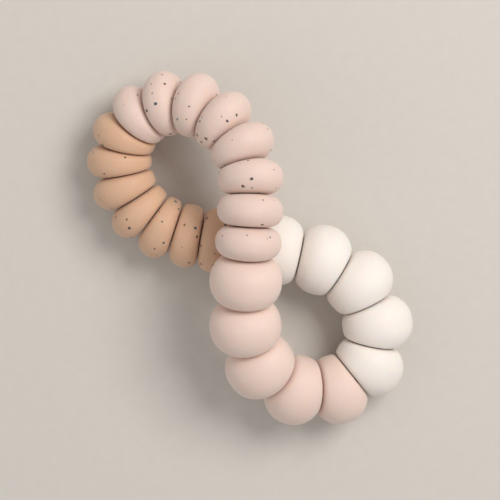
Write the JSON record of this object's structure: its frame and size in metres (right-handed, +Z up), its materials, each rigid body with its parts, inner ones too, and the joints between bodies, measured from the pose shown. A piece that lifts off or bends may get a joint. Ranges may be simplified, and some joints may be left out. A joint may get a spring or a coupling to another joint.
{
  "type": "teething ring",
  "caption": "Beaded silicone teething ring: disc beads and round beads squeezed on one closed cord, lying as a figure of eight that crosses over itself.",
  "frame": {"origin": "bottom centre of the object's box, on the surface that it lies on", "axes": "+X from the disc ring to the round ring, +Z up, +Y to the left of +X"},
  "size_m": [0.1208, 0.0586, 0.0404],
  "materials": {
    "silicone_sand": "matte silicone with sparse dark flecks",
    "silicone_peach": "matte silicone with sparse dark flecks",
    "silicone_blush": "plain matte silicone",
    "silicone_cream": "plain matte silicone",
    "cord_braid": "braided cord"
  },
  "bodies": {
    "loop": {"peach_disc_8": "silicone_peach", "sand_disc_8": "silicone_sand", "blush_bead_1": "silicone_blush", "cream_bead_5": "silicone_cream", "cord": "cord_braid", "cord_knot": "cord_braid"},
    "peach_disc_7": {"peach_disc_7": "silicone_peach"},
    "peach_disc_6": {"peach_disc_6": "silicone_peach"},
    "peach_disc_5": {"peach_disc_5": "silicone_peach"},
    "peach_disc_4": {"peach_disc_4": "silicone_peach"},
    "peach_disc_3": {"peach_disc_3": "silicone_peach"},
    "peach_disc_2": {"peach_disc_2": "silicone_peach"},
    "peach_disc_1": {"peach_disc_1": "silicone_peach"},
    "sand_disc_1": {"sand_disc_1": "silicone_sand"},
    "sand_disc_2": {"sand_disc_2": "silicone_sand"},
    "sand_disc_3": {"sand_disc_3": "silicone_sand"},
    "sand_disc_4": {"sand_disc_4": "silicone_sand"},
    "sand_disc_5": {"sand_disc_5": "silicone_sand"},
    "sand_disc_6": {"sand_disc_6": "silicone_sand"},
    "sand_disc_7": {"sand_disc_7": "silicone_sand"},
    "blush_bead_2": {"blush_bead_2": "silicone_blush"},
    "blush_bead_3": {"blush_bead_3": "silicone_blush"},
    "blush_bead_4": {"blush_bead_4": "silicone_blush"},
    "blush_bead_5": {"blush_bead_5": "silicone_blush"},
    "cream_bead_1": {"cream_bead_1": "silicone_cream"},
    "cream_bead_2": {"cream_bead_2": "silicone_cream"},
    "cream_bead_3": {"cream_bead_3": "silicone_cream"},
    "cream_bead_4": {"cream_bead_4": "silicone_cream"}
  },
  "joints": [
    {"name": "peach_disc_7_twist", "type": "hinge", "parent": "loop", "child": "peach_disc_7", "pos_m": [-0.00804, -0.00677, 0.01023], "axis": [-0.7401, -0.6717, -0.032], "range_deg": [-4, 4]},
    {"name": "peach_disc_6_twist", "type": "hinge", "parent": "loop", "child": "peach_disc_6", "pos_m": [-0.01406, -0.01216, 0.00997], "axis": [-0.7486, -0.6623, -0.0323], "range_deg": [-4, 4]},
    {"name": "peach_disc_5_twist", "type": "hinge", "parent": "loop", "child": "peach_disc_5", "pos_m": [-0.02081, -0.01661, 0.00972], "axis": [-0.9028, -0.4291, -0.0289], "range_deg": [-4, 4]},
    {"name": "peach_disc_4_twist", "type": "hinge", "parent": "loop", "child": "peach_disc_4", "pos_m": [-0.02872, -0.01869, 0.0096], "axis": [-0.9974, -0.0719, 0], "range_deg": [-4, 4]},
    {"name": "peach_disc_3_twist", "type": "hinge", "parent": "loop", "child": "peach_disc_3", "pos_m": [-0.03689, -0.01777, 0.0096], "axis": [-0.9566, 0.2915, 0], "range_deg": [-4, 4]},
    {"name": "peach_disc_2_twist", "type": "hinge", "parent": "loop", "child": "peach_disc_2", "pos_m": [-0.04402, -0.01402, 0.00974], "axis": [-0.7777, 0.6277, 0.035], "range_deg": [-4, 4]},
    {"name": "peach_disc_1_twist", "type": "hinge", "parent": "loop", "child": "peach_disc_1", "pos_m": [-0.04896, -0.00804, 0.01052], "axis": [-0.4558, 0.8752, 0.162], "range_deg": [-4, 4]},
    {"name": "sand_disc_1_twist", "type": "hinge", "parent": "loop", "child": "sand_disc_1", "pos_m": [-0.05081, -0.00026, 0.01243], "axis": [-0.0131, 0.9596, 0.2811], "range_deg": [-4, 4]},
    {"name": "sand_disc_2_twist", "type": "hinge", "parent": "loop", "child": "sand_disc_2", "pos_m": [-0.04883, 0.00797, 0.01538], "axis": [0.4337, 0.8277, 0.3562], "range_deg": [-4, 4]},
    {"name": "sand_disc_3_twist", "type": "hinge", "parent": "loop", "child": "sand_disc_3", "pos_m": [-0.04305, 0.01456, 0.01893], "axis": [0.7519, 0.5408, 0.3771], "range_deg": [-4, 4]},
    {"name": "sand_disc_4_twist", "type": "hinge", "parent": "loop", "child": "sand_disc_4", "pos_m": [-0.03467, 0.01816, 0.02262], "axis": [0.9164, 0.1796, 0.3577], "range_deg": [-4, 4]},
    {"name": "sand_disc_5_twist", "type": "hinge", "parent": "loop", "child": "sand_disc_5", "pos_m": [-0.0254, 0.01802, 0.02599], "axis": [0.9263, -0.2101, 0.3128], "range_deg": [-4, 4]},
    {"name": "sand_disc_6_twist", "type": "hinge", "parent": "loop", "child": "sand_disc_6", "pos_m": [-0.01706, 0.01425, 0.02873], "axis": [0.7813, -0.5725, 0.2487], "range_deg": [-4, 4]},
    {"name": "sand_disc_7_twist", "type": "hinge", "parent": "loop", "child": "sand_disc_7", "pos_m": [-0.00995, 0.00844, 0.03045], "axis": [0.7355, -0.6675, 0.1163], "range_deg": [-4, 4]},
    {"name": "blush_bead_2_twist", "type": "hinge", "parent": "loop", "child": "blush_bead_2", "pos_m": [0.01605, -0.01418, 0.02483], "axis": [0.7555, -0.554, -0.3497], "range_deg": [-3, 3]},
    {"name": "blush_bead_3_twist", "type": "hinge", "parent": "loop", "child": "blush_bead_3", "pos_m": [0.02871, -0.01879, 0.01946], "axis": [0.9284, -0.0677, -0.3653], "range_deg": [-3, 3]},
    {"name": "blush_bead_4_twist", "type": "hinge", "parent": "loop", "child": "blush_bead_4", "pos_m": [0.04172, -0.01577, 0.01452], "axis": [0.8199, 0.4886, -0.2984], "range_deg": [-3, 3]},
    {"name": "blush_bead_5_twist", "type": "hinge", "parent": "loop", "child": "blush_bead_5", "pos_m": [0.04996, -0.00613, 0.01146], "axis": [0.3495, 0.927, -0.1365], "range_deg": [-3, 3]},
    {"name": "cream_bead_1_twist", "type": "hinge", "parent": "loop", "child": "cream_bead_1", "pos_m": [0.05002, 0.006, 0.01056], "axis": [-0.3482, 0.9374, -0.001], "range_deg": [-3, 3]},
    {"name": "cream_bead_2_twist", "type": "hinge", "parent": "loop", "child": "cream_bead_2", "pos_m": [0.04197, 0.0156, 0.01055], "axis": [-0.8523, 0.5231, 0], "range_deg": [-3, 3]},
    {"name": "cream_bead_3_twist", "type": "hinge", "parent": "loop", "child": "cream_bead_3", "pos_m": [0.02918, 0.01879, 0.01055], "axis": [-0.9986, -0.0522, 0], "range_deg": [-3, 3]},
    {"name": "cream_bead_4_twist", "type": "hinge", "parent": "loop", "child": "cream_bead_4", "pos_m": [0.01661, 0.01448, 0.01055], "axis": [-0.8165, -0.5774, 0], "range_deg": [-3, 3]}
  ]
}
